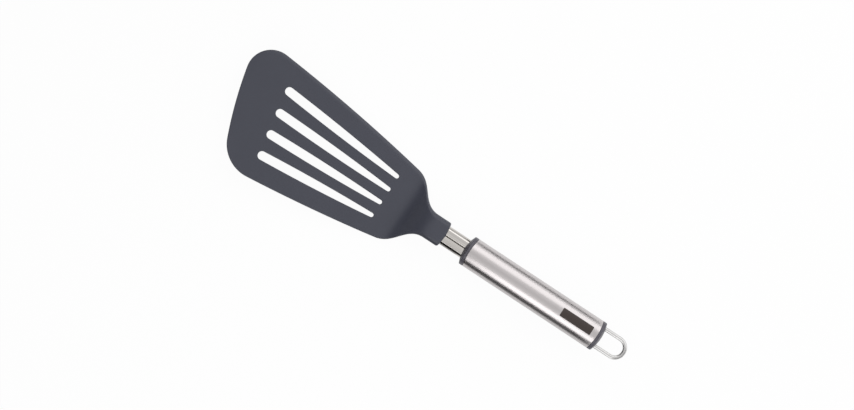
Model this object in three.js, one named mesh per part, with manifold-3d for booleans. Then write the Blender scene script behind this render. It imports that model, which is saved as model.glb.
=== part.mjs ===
import * as THREE from 'three';
import { mergeVertices } from 'three/addons/utils/BufferGeometryUtils.js';
import Module from 'manifold-3d';

// Cranked kitchen turner: a slotted nylon head moulded onto a flat steel shank. A nylon collar
// holds the shank in a steel tube handle, and a nylon cap with a wire loop closes the tube.
// Millimetres. The head's tip points to -x, the loop to +x, y is across and z is up.
// x = 0 is the tube's front end on its top line, and z = 0 is the handle's axis.

// Room left between pieces that are moulded or pressed together
const fit = 0.3;

// Handle tube: both ends are cut to a shallow bow, furthest out on the top and bottom lines
const tubeDiameter = 23;
const tubeWall = 0.9;
const tubeLength = 110;
const endBow = 1.2;

// Front collar: a domed flange flush with the tube, and a plug inside it
const collarRim = 3.2;
const collarDome = 2.2;
const collarPlug = 17;

// End cap: the same form with a shorter plug
const capRim = 3.1;
const capDome = 1.9;
const capPlug = 11;
const rimRound = 0.8;
const plugChamfer = 1;

// Hanging loop: steel wire, two legs through the cap, feet bent inwards behind its plug
const wireDiameter = 3.2;
const legInset = 4.2;
const loopReach = 20.9;
const loopCorner = 7.2;
const footBend = 3;
const footLength = 2;

// Shank: flat drawn bar with bevelled long edges and a fine groove along the middle of both faces
const shankWidth = 15;
const shankThickness = 6.4;
const sideFlat = 0.7;
const sideRound = 1.7;
const bevelRadius = 9;
const bevelTurn = THREE.MathUtils.degToRad(40);
const grooveWidth = 1.5;
const grooveDepth = 0.5;
const shankReach = 21;
const tangDepth = 15;
const keyDiameter = 5;
const keyInset = 7;

// Socket: the end of the head that holds the shank
const socketWall = 2.45;
const socketCover = 2.3;
const socketCorner = 2.9;
const socketLength = 12.9;
const socketBow = 1.4;
const socketRound = 1;

// Neck: rises and narrows in double curves from the heel of the blade to the socket, and starts a
// hair's breadth inside the blade's sides and top. Its upper side rises a little later than its lower.
const neckLength = 30.4;
const neckEase = 14.5;
const crownDelay = 2.2;
const blendStep = 0.05;

// Blade: flat below, thinner towards the front, with bowed sides and a slanted, bowed front edge
const heelWidth = 59.2;
const bladeLength = 140.4;
const bladeRise = THREE.MathUtils.degToRad(5.2);
const heelThickness = 3.2;
const frontThickness = 1.3;
const edgeRound = 0.8;
const sideFlare = THREE.MathUtils.degToRad(10.3);
const sideRadius = 1330;
const frontSlant = THREE.MathUtils.degToRad(17.2);
const frontRadius = 307;
const leadCorner = 18.6;
const trailCorner = 26.6;

// Slots: they fan out from a point behind the heel, with a wide front end and a narrow rear end
const slotCount = 4;
const slotFan = THREE.MathUtils.degToRad(3.25);
const fanReach = 188;
const slotFrontMargin = 30.9;
const slotFrontSlant = THREE.MathUtils.degToRad(10);
const slotHeelMargin = 9.5;
const slotWideRadius = 3.35;
const slotNarrowRadius = 1.75;
const slotBow = 0.7;

// Facets
const roundSegments = 40;
const arcSegments = 8;
const wireSegments = 5;
const wireSteps = 84;
const neckSteps = 18;
const cornerSteps = 4;
const mergeDistance = 0.0001;

const tubeRadius = tubeDiameter / 2;
const boreRadius = tubeRadius - tubeWall;
const plugRadius = boreRadius - fit;
const floor = -tubeRadius;
const bowRadius = (tubeRadius ** 2 + endBow ** 2) / (2 * endBow);
const cutMargin = 2;

const wasm = await Module();
wasm.setup();

// A closed solid for joining and cutting, from any closed geometry
function solid(geometry) {
  const bare = geometry.clone();
  bare.deleteAttribute('normal');
  bare.deleteAttribute('uv');
  const merged = mergeVertices(bare, mergeDistance);
  const index = merged.index.array;
  const triangles = [];
  for (let i = 0; i < index.length; i += 3) {
    const [a, b, c] = index.slice(i, i + 3);
    if (a !== b && b !== c && c !== a) triangles.push(a, b, c);
  }
  return new wasm.Manifold(new wasm.Mesh({
    numProp: 3,
    vertProperties: new Float32Array(merged.attributes.position.array),
    triVerts: new Uint32Array(triangles),
  }));
}

// The named mesh of a finished solid
function piece(name, body, material) {
  const { numProp, vertProperties, triVerts } = body.getMesh();
  const positions = new Float32Array((vertProperties.length / numProp) * 3);
  for (let i = 0; i < positions.length / 3; i += 1) {
    positions.set(vertProperties.subarray(i * numProp, i * numProp + 3), i * 3);
  }
  const geometry = new THREE.BufferGeometry();
  geometry.setAttribute('position', new THREE.BufferAttribute(positions, 3));
  geometry.setIndex(new THREE.BufferAttribute(new Uint32Array(triVerts), 1));
  geometry.computeVertexNormals();
  const mesh = new THREE.Mesh(geometry, material);
  mesh.name = name;
  return mesh;
}

// A body of revolution about the handle's axis, from [along, radius] pairs
function turned(profile) {
  const points = profile.map(([along, radius]) => new THREE.Vector2(radius, along));
  return new THREE.LatheGeometry(points, roundSegments).rotateZ(-Math.PI / 2);
}

// A prism standing on a plan outline, from one height to another
function upright(shape, from, to) {
  const options = { depth: to - from, bevelEnabled: false, curveSegments: arcSegments };
  return new THREE.ExtrudeGeometry(shape, options).translate(0, 0, from);
}

// A bar along the handle's axis with the given cross section
function bar(section, from, to) {
  const options = { depth: to - from, bevelEnabled: false, curveSegments: cornerSteps / 2 };
  const geometry = new THREE.ExtrudeGeometry(section, options);
  return geometry.rotateZ(Math.PI / 2).rotateY(Math.PI / 2).translate(from, 0, 0);
}

// A round peg standing across the handle's axis
function peg(radius, height, along) {
  return new THREE.CylinderGeometry(radius, radius, height, roundSegments / 2)
    .rotateX(Math.PI / 2)
    .translate(along, 0, 0);
}

// Plan outline of the tube with its bowed ends, moved out by a gap for what seats against it
function tubePlan(gap) {
  const half = Math.asin((tubeRadius + cutMargin) / bowRadius);
  const shape = new THREE.Shape();
  shape.absarc(bowRadius - gap, 0, bowRadius, Math.PI - half, Math.PI + half, false);
  shape.absarc(tubeLength - bowRadius + gap, 0, bowRadius, -half, half, false);
  return shape;
}

function tubeBlock(gap) {
  return solid(upright(tubePlan(gap), floor - cutMargin, tubeRadius + cutMargin));
}

function handleTube() {
  const walls = turned([
    [-cutMargin, boreRadius],
    [-cutMargin, tubeRadius],
    [tubeLength + cutMargin, tubeRadius],
    [tubeLength + cutMargin, boreRadius],
    [-cutMargin, boreRadius],
  ]);
  return solid(walls).intersect(tubeBlock(0));
}

// Domed flange and plug of a tube stopper whose flange faces -x, with the tube's end at x = 0
function stopper(rim, dome, plug) {
  const rimFace = endBow - fit - rim;
  const domeEdge = tubeRadius - rimRound;
  const domeRadius = (domeEdge ** 2 + dome ** 2) / (2 * dome);
  const domeHalf = Math.asin(domeEdge / domeRadius);
  const profile = [];
  for (let i = 0; i <= arcSegments; i += 1) {
    const angle = (domeHalf * i) / arcSegments;
    profile.push([rimFace - dome + domeRadius * (1 - Math.cos(angle)), domeRadius * Math.sin(angle)]);
  }
  for (let i = 1; i <= cornerSteps; i += 1) {
    const angle = (Math.PI / 2) * (i / cornerSteps);
    profile.push([rimFace + rimRound * (1 - Math.cos(angle)), domeEdge + rimRound * Math.sin(angle)]);
  }
  profile.push([endBow + cutMargin, tubeRadius], [endBow + cutMargin, 0]);
  const flange = solid(turned(profile)).subtract(tubeBlock(fit));
  const core = turned([
    [rimFace, 0],
    [rimFace, plugRadius],
    [plug - plugChamfer, plugRadius],
    [plug, plugRadius - plugChamfer],
    [plug, 0],
  ]);
  return flange.add(solid(core));
}

// Cross section of the shank, grown by a gap for the pocket around it. A quarter of it runs from the
// round side over the barely curved bevel to the flat face and the groove.
function shankSection(gap) {
  const up = shankThickness / 2 + gap;
  const sideX = shankWidth / 2 - sideRound;
  const bevelX = sideX - (bevelRadius - sideRound) * Math.cos(bevelTurn);
  const bevelY = sideFlat / 2 - (bevelRadius - sideRound) * Math.sin(bevelTurn);
  const ridge = Math.asin((up - bevelY) / (bevelRadius + gap));
  const quarter = new THREE.Path();
  quarter.absarc(sideX, sideFlat / 2, sideRound + gap, 0, bevelTurn, false);
  quarter.absarc(bevelX, bevelY, bevelRadius + gap, bevelTurn, ridge, false);
  quarter.lineTo(grooveWidth / 2, up);
  quarter.lineTo(0, up - grooveDepth);
  const lead = quarter.getPoints(cornerSteps / 4);
  const trail = lead.slice(0, -1).reverse().map(({ x, y }) => new THREE.Vector2(-x, y));
  const upper = [...lead, ...trail];
  const lower = upper.map(({ x, y }) => new THREE.Vector2(-x, -y));
  return new THREE.Shape([...upper, ...lower]);
}

const socketEnd = -shankReach;
const shankStart = socketEnd - tangDepth;
const shankEnd = collarPlug;
const headKey = shankStart + keyInset;
const collarKey = shankEnd - keyInset;

function shank() {
  const hole = (along) => solid(peg(keyDiameter / 2, shankThickness + cutMargin, along));
  return solid(bar(shankSection(0), shankStart, shankEnd)).subtract(hole(headKey)).subtract(hole(collarKey));
}

// Cuts the shank's pocket into a moulded body and leaves the key that fills the shank's hole
function mouldedOn(body, along, from, to) {
  const pocket = solid(bar(shankSection(fit), from, to));
  const key = solid(peg(keyDiameter / 2 - fit, shankThickness + 2 * (fit + socketCover / 2), along));
  return body.subtract(pocket).add(key);
}

function frontCollar() {
  const body = stopper(collarRim, collarDome, collarPlug);
  return mouldedOn(body, collarKey, -shankReach, shankEnd + cutMargin);
}

const legOffset = tubeRadius - legInset;

function endCap() {
  const body = stopper(capRim, capDome, capPlug);
  const holeRadius = wireDiameter / 2 + fit;
  const hole = (side) => solid(
    new THREE.CylinderGeometry(holeRadius, holeRadius, 2 * tubeLength, roundSegments / 2)
      .rotateZ(Math.PI / 2)
      .translate(0, side * legOffset, 0),
  );
  return body.subtract(hole(1)).subtract(hole(-1));
}

// Centre line of the wire in the plane of the handle's axis, as a curve in space
class WireCentre extends THREE.Curve {
  constructor(path) {
    super();
    this.path = path;
  }

  getPoint(t, target = new THREE.Vector3()) {
    const { x, y } = this.path.getPoint(t);
    return target.set(x, y, 0);
  }
}

function hangingLoop() {
  const capFace = tubeLength - endBow + fit + capRim + capDome;
  const far = capFace + loopReach - wireDiameter / 2;
  const foot = tubeLength - capPlug - footBend;
  const route = new THREE.Path();
  route.moveTo(foot, legOffset - footBend - footLength);
  route.lineTo(foot, legOffset - footBend);
  route.absarc(foot + footBend, legOffset - footBend, footBend, Math.PI, Math.PI / 2, true);
  route.lineTo(far - loopCorner, legOffset);
  route.absarc(far - loopCorner, legOffset - loopCorner, loopCorner, Math.PI / 2, 0, true);
  route.lineTo(far, loopCorner - legOffset);
  route.absarc(far - loopCorner, loopCorner - legOffset, loopCorner, 0, -Math.PI / 2, true);
  route.lineTo(foot + footBend, -legOffset);
  route.absarc(foot + footBend, footBend - legOffset, footBend, -Math.PI / 2, -Math.PI, true);
  route.lineTo(foot, footBend + footLength - legOffset);
  const section = new THREE.Shape().absarc(0, 0, wireDiameter / 2, 0, 2 * Math.PI, false);
  return solid(new THREE.ExtrudeGeometry(section, {
    steps: wireSteps,
    extrudePath: new WireCentre(route),
    curveSegments: wireSegments,
  }));
}

const heelX = socketEnd - socketLength - neckLength;

// Moves what is drawn flat, with the heel line at x = 0, to the blade's place and rise
function onBlade(geometry) {
  return geometry.rotateY(bladeRise).translate(heelX, 0, floor + blendStep);
}

function heading(from, to) {
  return Math.atan2(to.y - from.y, to.x - from.x);
}

// Centre of a corner of the given radius that runs into two larger arcs, on the tip's side
function cornerCentre(radius, one, oneRadius, other, otherRadius) {
  const near = oneRadius - radius;
  const far = otherRadius - radius;
  const span = other.clone().sub(one);
  const gap = span.length();
  const along = (near ** 2 - far ** 2 + gap ** 2) / (2 * gap);
  const off = Math.sqrt(near ** 2 - along ** 2);
  const unit = span.normalize();
  const foot = one.clone().addScaledVector(unit, along);
  const square = new THREE.Vector2(-unit.y, unit.x);
  const choices = [off, -off].map((step) => foot.clone().addScaledVector(square, step));
  return choices.reduce((a, b) => (a.x < b.x ? a : b));
}

// Plan outline of the blade: bowed sides, a slanted bowed front, and two different front corners.
// Its rounded rear edge laps into the neck, so the flat underside ends on the heel line.
function bladePlan() {
  const half = heelWidth / 2;
  const sideX = -sideRadius * Math.sin(sideFlare);
  const sideY = half - sideRadius * Math.cos(sideFlare);
  const leadSide = new THREE.Vector2(sideX, sideY);
  const trailSide = new THREE.Vector2(sideX, -sideY);
  const front = new THREE.Vector2(
    frontRadius * Math.cos(frontSlant) - bladeLength,
    frontRadius * Math.sin(frontSlant),
  );
  const lead = cornerCentre(leadCorner, leadSide, sideRadius, front, frontRadius);
  const trail = cornerCentre(trailCorner, trailSide, sideRadius, front, frontRadius);
  const lap = half - edgeRound * Math.tan(sideFlare);
  const heelLead = new THREE.Vector2(edgeRound, lap);
  const heelTrail = new THREE.Vector2(edgeRound, -lap);
  const shape = new THREE.Shape();
  const arc = (centre, radius, from, to) => shape.absarc(centre.x, centre.y, radius, from, to, false);
  arc(leadSide, sideRadius, heading(leadSide, heelLead), heading(leadSide, lead));
  arc(lead, leadCorner, heading(leadSide, lead), heading(front, lead));
  arc(front, frontRadius, heading(front, lead), heading(front, trail));
  arc(trail, trailCorner, heading(front, trail), heading(trailSide, trail));
  arc(trailSide, sideRadius, heading(trailSide, trail), heading(trailSide, heelTrail));
  return shape;
}

// One slot, drawn along its own centre line and turned about the fan's point
function slotPlan(turn) {
  const front = fanReach + bladeLength - slotFrontMargin;
  const lean = Math.cos(turn) + Math.tan(slotFrontSlant) * Math.sin(turn);
  const wide = front / lean - slotWideRadius;
  const narrow = (fanReach + slotHeelMargin) / Math.cos(turn) + slotNarrowRadius;
  const middle = (wide + narrow) / 2;
  const bulge = (slotWideRadius + slotNarrowRadius) / 2 + 2 * slotBow;
  const shape = new THREE.Shape();
  shape.absarc(-wide, 0, slotWideRadius, Math.PI / 2, 1.5 * Math.PI, false);
  shape.quadraticCurveTo(-middle, -bulge, -narrow, -slotNarrowRadius);
  shape.absarc(-narrow, 0, slotNarrowRadius, -Math.PI / 2, Math.PI / 2, false);
  shape.quadraticCurveTo(-middle, bulge, -wide, slotWideRadius);
  return shape;
}

function slot(number) {
  const turn = -slotFan * (number - (slotCount - 1) / 2);
  const prism = upright(slotPlan(turn), -cutMargin, heelThickness + cutMargin);
  return solid(onBlade(prism.rotateZ(turn).translate(fanReach, 0, 0)));
}

function bladePlate() {
  const geometry = new THREE.ExtrudeGeometry(bladePlan(), {
    depth: heelThickness - 2 * edgeRound,
    curveSegments: arcSegments,
    bevelThickness: edgeRound,
    bevelSize: edgeRound,
    bevelOffset: -edgeRound,
    bevelSegments: cornerSteps / 2,
  }).translate(0, 0, edgeRound);
  const position = geometry.attributes.position;
  const thinning = (1 - frontThickness / heelThickness) / bladeLength;
  for (let i = 0; i < position.count; i += 1) {
    position.setZ(i, position.getZ(i) * (1 + thinning * position.getX(i)));
  }
  return solid(onBlade(geometry));
}

// Cross section of the neck at one place: a rectangle with round corners, as [across, up] pairs
function neckSection(half, bottom, top, corner) {
  const quarter = (across, up, start) => {
    const points = [];
    for (let i = 0; i <= cornerSteps; i += 1) {
      const angle = start + (Math.PI / 2) * (i / cornerSteps);
      points.push([across + corner * Math.cos(angle), up + corner * Math.sin(angle)]);
    }
    return points;
  };
  const flat = (up, direction) => [-0.5, 0, 0.5].map((share) => [direction * share * (half - corner), up]);
  return [
    ...quarter(half - corner, top - corner, 0),
    ...flat(top, -1),
    ...quarter(corner - half, top - corner, Math.PI / 2),
    ...quarter(corner - half, bottom + corner, Math.PI),
    ...flat(bottom, 1),
    ...quarter(half - corner, bottom + corner, 1.5 * Math.PI),
  ];
}

// Skin over a row of rings with equal counts, closed at both ends
function loft(rings) {
  const count = rings[0].length;
  const positions = rings.flat(2);
  const triangles = [];
  for (let ring = 0; ring < rings.length - 1; ring += 1) {
    for (let i = 0; i < count; i += 1) {
      const a = ring * count + i;
      const b = ring * count + ((i + 1) % count);
      triangles.push(a, b, a + count, b, b + count, a + count);
    }
  }
  const close = (ring, order) => {
    const middle = positions.length / 3;
    positions.push(...[0, 1, 2].map((axis) => ring.reduce((sum, p) => sum + p[axis], 0) / count));
    const first = rings.indexOf(ring) * count;
    for (let i = 0; i < count; i += 1) {
      const pair = [first + i, first + ((i + 1) % count)];
      triangles.push(middle, pair[order], pair[1 - order]);
    }
  };
  close(rings[0], 1);
  close(rings[rings.length - 1], 0);
  const geometry = new THREE.BufferGeometry();
  geometry.setAttribute('position', new THREE.Float32BufferAttribute(positions, 3));
  geometry.setIndex(triangles);
  return geometry;
}

// Neck and socket: each step along the shoulder's plan curve gives one cross section, with its top
// and bottom on the upper and lower curves of the side view
function neck() {
  const socketX = socketEnd - socketLength;
  const half = shankWidth / 2 + socketWall;
  const top = shankThickness / 2 + socketCover;
  const heelTop = floor + heelThickness;
  const heelHalf = heelWidth / 2;
  const shoulder = new THREE.CubicBezierCurve(
    new THREE.Vector2(heelX, heelHalf),
    new THREE.Vector2(heelX + neckEase, heelHalf - neckEase * Math.tan(sideFlare)),
    new THREE.Vector2(socketX - neckEase, half),
    new THREE.Vector2(socketX, half),
  );
  const rise = (from, to, x, delay) => THREE.MathUtils.lerp(
    from,
    to,
    THREE.MathUtils.smoothstep(x, heelX + delay, socketX + delay),
  );
  const crown = (x) => rise(heelTop - (x - heelX) * Math.tan(bladeRise), top, x, crownDelay);
  const sole = (x) => rise(floor, -top, x, 0);
  const ring = (along, section, bow) => section.map(([y, z]) => [along - bow * (y / half) ** 2, y, z]);
  const rings = [];
  const root = neckSection(heelHalf - edgeRound, floor + edgeRound, heelTop - edgeRound, blendStep);
  rings.push(ring(heelX - edgeRound, root, 0));
  for (let i = 0; i <= neckSteps; i += 1) {
    const t = i / neckSteps;
    const place = shoulder.getPoint(t);
    const inset = blendStep * (1 - t);
    const section = neckSection(
      place.y - inset,
      sole(place.x),
      crown(place.x) - inset,
      THREE.MathUtils.lerp(edgeRound, socketCorner, t),
    );
    rings.push(ring(place.x, section, 0));
  }
  for (let i = 0; i <= cornerSteps; i += 1) {
    const angle = (Math.PI / 2) * (i / cornerSteps);
    const inset = socketRound * (1 - Math.cos(angle));
    const section = neckSection(half - inset, inset - top, top - inset, socketCorner - inset);
    rings.push(ring(socketEnd - socketRound * (1 - Math.sin(angle)), section, socketBow));
  }
  return solid(loft(rings));
}

function turnerHead() {
  let body = bladePlate().add(neck());
  for (let number = 0; number < slotCount; number += 1) {
    body = body.subtract(slot(number));
  }
  return mouldedOn(body, headKey, shankStart - fit, socketEnd + cutMargin);
}

const headNylon = new THREE.MeshStandardMaterial({ color: 0x4f5057, roughness: 0.55, metalness: 0 });
const handleNylon = new THREE.MeshStandardMaterial({ color: 0x55545c, roughness: 0.5, metalness: 0 });
const brushedSteel = new THREE.MeshStandardMaterial({ color: 0xc9c7c4, roughness: 0.35, metalness: 1 });
const polishedSteel = new THREE.MeshStandardMaterial({ color: 0xd6d6d6, roughness: 0.15, metalness: 1 });

const cap = piece('end_cap', endCap(), handleNylon);
cap.rotation.z = Math.PI;
cap.position.x = tubeLength;

const tool = new THREE.Group();
tool.add(
  piece('turner_head', turnerHead(), headNylon),
  piece('shank', shank(), polishedSteel),
  piece('front_collar', frontCollar(), handleNylon),
  piece('handle_tube', handleTube(), brushedSteel),
  cap,
  piece('hanging_loop', hangingLoop(), polishedSteel),
);

// The tool lies on its heel and its handle, with the middle of its base at the origin
const middle = new THREE.Box3().setFromObject(tool).getCenter(new THREE.Vector3());
tool.position.set(-middle.x, -middle.y, tubeRadius);

const turner = new THREE.Group();
turner.add(tool);

export default turner;
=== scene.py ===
import math

import bmesh
import bpy
from mathutils import Matrix, Vector


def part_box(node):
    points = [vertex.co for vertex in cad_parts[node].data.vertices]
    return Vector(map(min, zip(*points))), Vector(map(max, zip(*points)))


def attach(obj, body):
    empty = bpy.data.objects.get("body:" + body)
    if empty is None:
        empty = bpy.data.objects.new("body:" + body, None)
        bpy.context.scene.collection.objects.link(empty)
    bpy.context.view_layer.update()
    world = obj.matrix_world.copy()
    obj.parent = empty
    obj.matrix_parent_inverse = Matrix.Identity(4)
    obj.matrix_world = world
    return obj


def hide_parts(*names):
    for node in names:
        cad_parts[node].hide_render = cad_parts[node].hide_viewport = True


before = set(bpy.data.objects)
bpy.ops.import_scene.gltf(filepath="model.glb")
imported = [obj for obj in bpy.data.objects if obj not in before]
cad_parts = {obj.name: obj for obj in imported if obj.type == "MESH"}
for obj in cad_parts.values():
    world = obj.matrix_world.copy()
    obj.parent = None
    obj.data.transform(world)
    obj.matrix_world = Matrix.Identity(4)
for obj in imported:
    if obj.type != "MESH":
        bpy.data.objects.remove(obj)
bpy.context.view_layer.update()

# Shank
# A flat bar of stainless steel, drawn with a fine groove along the middle of both faces and then
# ground. The head is moulded round its front end and the front collar round its rear end.
# Pieces are drawn in millimetres and scaled to metres when they are done.
mm = 0.001
groove_width = 1.5
groove_depth = 0.42
groove_steps = 10
bar_chamfer = 0.3
dish_depth = 0.62
dish_steps = 12
# The bar's long edges as arcs of a radius between two slopes in degrees: a ridge, a barely curved
# bevel in two parts and a round side. The lead side's ridge is softer than the trail side's.
lead_arcs = ((2.0, 0, 38), (7.6, 38, 53), (8.0, 53, 60), (1.0, 60, 90))
trail_arcs = ((0.3, 0, 36), (7.6, 36, 53), (10.0, 53, 60), (1.0, 60, 90))
# How much of the flat beside the groove falls towards it, and the power of that fall's curve
lead_dish = (1.0, 2.0)
trail_dish = (0.74, 1.3)
arc_parts = 6
# Painted shade: the colour that the groove is darkened to. The roughness below is the groove's dull finish.
groove_shade_tone = "#7A7772"
groove_roughness = 0.45
weld_distance = 0.0005
# Most of a noise's values lie between these two.
noise_low = 0.3
noise_high = 0.7


def box_mm(node):
    """Lowest and highest corner of a CAD node in millimetres."""
    low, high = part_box(node)
    return low / mm, high / mm


shank_low, shank_high = box_mm("shank")
handle_axis = (shank_low + shank_high) / 2
shank_half = (shank_high.y - shank_low.y) / 2
shank_up = (shank_high.z - shank_low.z) / 2


def shank_quarter(arcs, dish, gap):
    """Outline of a quarter of the bar as (across, up) pairs, from the middle of its groove to its side."""
    ridge = shank_half + gap
    for radius, start, end in arcs:
        ridge -= (radius + gap) * (math.sin(math.radians(end)) - math.sin(math.radians(start)))
    up = shank_up + gap
    quarter = []
    for i in range(groove_steps + 1):
        share = i / groove_steps
        dip = groove_depth * (1 + math.cos(math.pi * share)) / 2
        quarter.append((groove_width / 2 * share, up - dip))
    for i in range(1, dish_steps):
        quarter.append((groove_width / 2 + (ridge - groove_width / 2) * i / dish_steps, up))
    reach, power = dish
    fall = [dish_depth * max(0.0, 1 - across / (reach * ridge)) ** power for across, _ in quarter]
    quarter = [(across, height - depth) for (across, height), depth in zip(quarter, fall)]
    across = ridge
    for radius, start, end in arcs:
        centre_across = across - (radius + gap) * math.sin(math.radians(start))
        centre_up = up - (radius + gap) * math.cos(math.radians(start))
        for i in range(arc_parts + 1):
            slope = math.radians(start + (end - start) * i / arc_parts)
            across = centre_across + (radius + gap) * math.sin(slope)
            up = centre_up + (radius + gap) * math.cos(slope)
            quarter.append((across, up))
    return quarter


def shank_section(gap):
    """Outline of the bar as (across, up) pairs from its middle, grown by a gap for what goes round it."""
    trail = [(-across, up) for across, up in shank_quarter(trail_arcs, trail_dish, gap)]
    upper = shank_quarter(lead_arcs, lead_dish, gap)[::-1] + trail[1:]
    return upper + [(across, -up) for across, up in reversed(upper)]


def bar_ring(x, gap=0.0):
    """The bar's outline at one place along the handle."""
    return [Vector((x, handle_axis.y + across, handle_axis.z + up)) for across, up in shank_section(gap)]


def add_skin(mesh, rings, closed=True):
    """Joins rows of points, all equally long, with four-sided faces."""
    rows = [[mesh.verts.new(point) for point in ring] for ring in rings]
    for row, following in zip(rows, rows[1:]):
        for i in range(len(row) if closed else len(row) - 1):
            j = (i + 1) % len(row)
            mesh.faces.new((row[i], row[j], following[j], following[i]))
    return rows


def add_bar(mesh, rings):
    """A skin over rings that is closed by a flat face at both ends."""
    rows = add_skin(mesh, rings)
    mesh.faces.new(rows[0])
    mesh.faces.new(rows[-1])


def make_object(name, mesh):
    """An object in millimetres from a closed mesh whose faces point outwards."""
    bmesh.ops.remove_doubles(mesh, verts=mesh.verts, dist=weld_distance)
    bmesh.ops.recalc_face_normals(mesh, faces=mesh.faces)
    data = bpy.data.meshes.new(name)
    mesh.to_mesh(data)
    mesh.free()
    made = bpy.data.objects.new(name, data)
    bpy.context.collection.objects.link(made)
    return made


def complete(piece, crease):
    """Scales a piece to metres and shades it smooth, apart from edges sharper than the crease."""
    piece.data.transform(Matrix.Scale(mm, 4))
    piece.data.shade_smooth()
    piece.data.set_sharp_from_angle(angle=math.radians(crease))


def linear(hex_colour):
    """Linear colour, with alpha, of an sRGB hex value."""
    channels = [int(hex_colour[i:i + 2], 16) / 255 for i in (1, 3, 5)]
    return [c / 12.92 if c <= 0.04045 else ((c + 0.055) / 1.055) ** 2.4 for c in channels] + [1.0]


def add_node(tree, kind, settings={}, inputs={}):
    """Adds a node. An input given as a socket is linked, and any other value is set."""
    node = tree.nodes.new(kind)
    for name, value in settings.items():
        setattr(node, name, value)
    for name, value in inputs.items():
        if isinstance(value, bpy.types.NodeSocket):
            tree.links.new(value, node.inputs[name])
        else:
            node.inputs[name].default_value = value
    return node


def steel(name, dark, light, roughness, spread, line_length, line_width, relief):
    """Stainless steel finished along x: fine lines that vary its tone, gloss and relief. Sizes are in mm.
    Returns the material, its node tree and its shader."""
    material = bpy.data.materials.new(name)
    material.use_nodes = True
    tree = material.node_tree
    shader = tree.nodes["Principled BSDF"]
    shader.inputs["Metallic"].default_value = 1.0
    place = add_node(tree, "ShaderNodeTexCoord").outputs["Object"]
    across = 1 / (line_width * mm)
    stretch = add_node(tree, "ShaderNodeMapping", {}, {
        "Vector": place, "Scale": (1 / (line_length * mm), across, across)})
    lines = add_node(tree, "ShaderNodeTexNoise", {}, {
        "Vector": stretch.outputs["Vector"], "Scale": 1.0, "Detail": 2.0, "Roughness": 0.5})
    height = lines.outputs["Fac"]
    tone = add_node(tree, "ShaderNodeMix", {"data_type": "RGBA"}, {
        0: height, 6: linear(dark), 7: linear(light)})
    gloss = add_node(tree, "ShaderNodeMapRange", {}, {
        "Value": height, "From Min": noise_low, "From Max": noise_high,
        "To Min": roughness - spread, "To Max": roughness + spread})
    bump = add_node(tree, "ShaderNodeBump", {}, {
        "Height": height, "Strength": 1.0, "Distance": relief * mm})
    tree.links.new(tone.outputs[2], shader.inputs["Base Color"])
    tree.links.new(gloss.outputs["Result"], shader.inputs["Roughness"])
    tree.links.new(bump.outputs["Normal"], shader.inputs["Normal"])
    return material, tree, shader


# Ground stainless steel: a clear, slightly warm mirror with faint lengthwise lines, and dull in the
# groove where the grinder doesn't reach. The groove's colour is also darkened, as painted shade. The
# real lines are about 0.05 mm wide, and are drawn coarser so that they show.
ground_steel, tree, shader = steel(
    "ground stainless steel", "#BDB9B4", "#E3DFDB", roughness=0.13, spread=0.03,
    line_length=60.0, line_width=0.9, relief=0.002)
place = add_node(tree, "ShaderNodeTexCoord").outputs["Object"]
split = add_node(tree, "ShaderNodeSeparateXYZ", {}, {0: place})
aside = add_node(tree, "ShaderNodeMath", {"operation": "SUBTRACT"}, {
    0: split.outputs["Y"], 1: handle_axis.y * mm})
from_groove = add_node(tree, "ShaderNodeMath", {"operation": "ABSOLUTE"}, {0: aside.outputs[0]})
# Painted shade in the groove: this mask darkens the groove's colour, and also raises its roughness.
groove_shade_and_dullness = add_node(tree, "ShaderNodeMapRange", {}, {
    "Value": from_groove.outputs[0],
    "From Min": groove_width / 4 * mm, "From Max": groove_width / 2 * mm,
    "To Min": 1.0, "To Max": 0.0}).outputs["Result"]
bright = shader.inputs["Base Color"].links[0].from_socket
gloss = shader.inputs["Roughness"].links[0].from_socket
tone = add_node(tree, "ShaderNodeMix", {"data_type": "RGBA"}, {0: groove_shade_and_dullness, 6: bright, 7: linear(groove_shade_tone)})
worn = add_node(tree, "ShaderNodeMix", {"data_type": "FLOAT"}, {0: groove_shade_and_dullness, 2: gloss, 3: groove_roughness})
tree.links.new(tone.outputs[2], shader.inputs["Base Color"])
tree.links.new(worn.outputs[0], shader.inputs["Roughness"])

bar = bmesh.new()
add_bar(bar, [
    bar_ring(shank_low.x, -bar_chamfer),
    bar_ring(shank_low.x + bar_chamfer),
    bar_ring(shank_high.x - bar_chamfer),
    bar_ring(shank_high.x, -bar_chamfer),
])
shank = make_object("ground_shank", bar)
complete(shank, crease=30)
shank.data.materials.append(ground_steel)
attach(shank, "root")
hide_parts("shank")

# Turner head
# One injection moulding in slate grey nylon: a thin slotted blade with rounded edges, a cranked
# neck and a socket. The socket is moulded round the shank, so the steel runs straight into it.
# It is drawn flat and evenly thick from the heel line, then thinned and bent to its rise.
blade_length = 140.4
blade_rise = math.radians(5.2)
blade_edge = 0.8
bevel_width = 3.2
bevel_depth = 1.15
bevel_limit = 1.55
heel_half = 29.58
heel_thickness = 3.2
front_thickness = 1.3
side_flare = math.radians(10.3)
side_radius = 1330.0
front_slant = math.radians(17.2)
front_radius = 307.0
lead_corner = 18.6
trail_corner = 26.6
neck_length = 30.4
neck_ease = 14.5
# Where the neck's crown and sole start to rise, are steepest from and to, and have become level again
crown_bends = (0.0, 18.5, 12.0, 36.0)
sole_bends = (0.0, 14.0, 16.0, 30.4)
socket_length = 12.9
socket_half = shank_half + 2.45
socket_up = shank_up + 2.3
socket_corner = 4.0
socket_bow = 1.4
socket_round = 1.0
tang_depth = 15.2
pocket_gap = 0.12
bend_run = 8.0
bend_steps = 8
heel_spread = 2.8
socket_spread = 1.0
spread_steps = 7
neck_steps = 40
socket_steps = 6
round_steps = 8
row_steps = 24
arc_steps = 28

head_high = box_mm("turner_head")[1]
heel_x = head_high.x - socket_length - neck_length


def heading(start, end):
    """Direction from one point to another."""
    return math.atan2(end.y - start.y, end.x - start.x)


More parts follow.
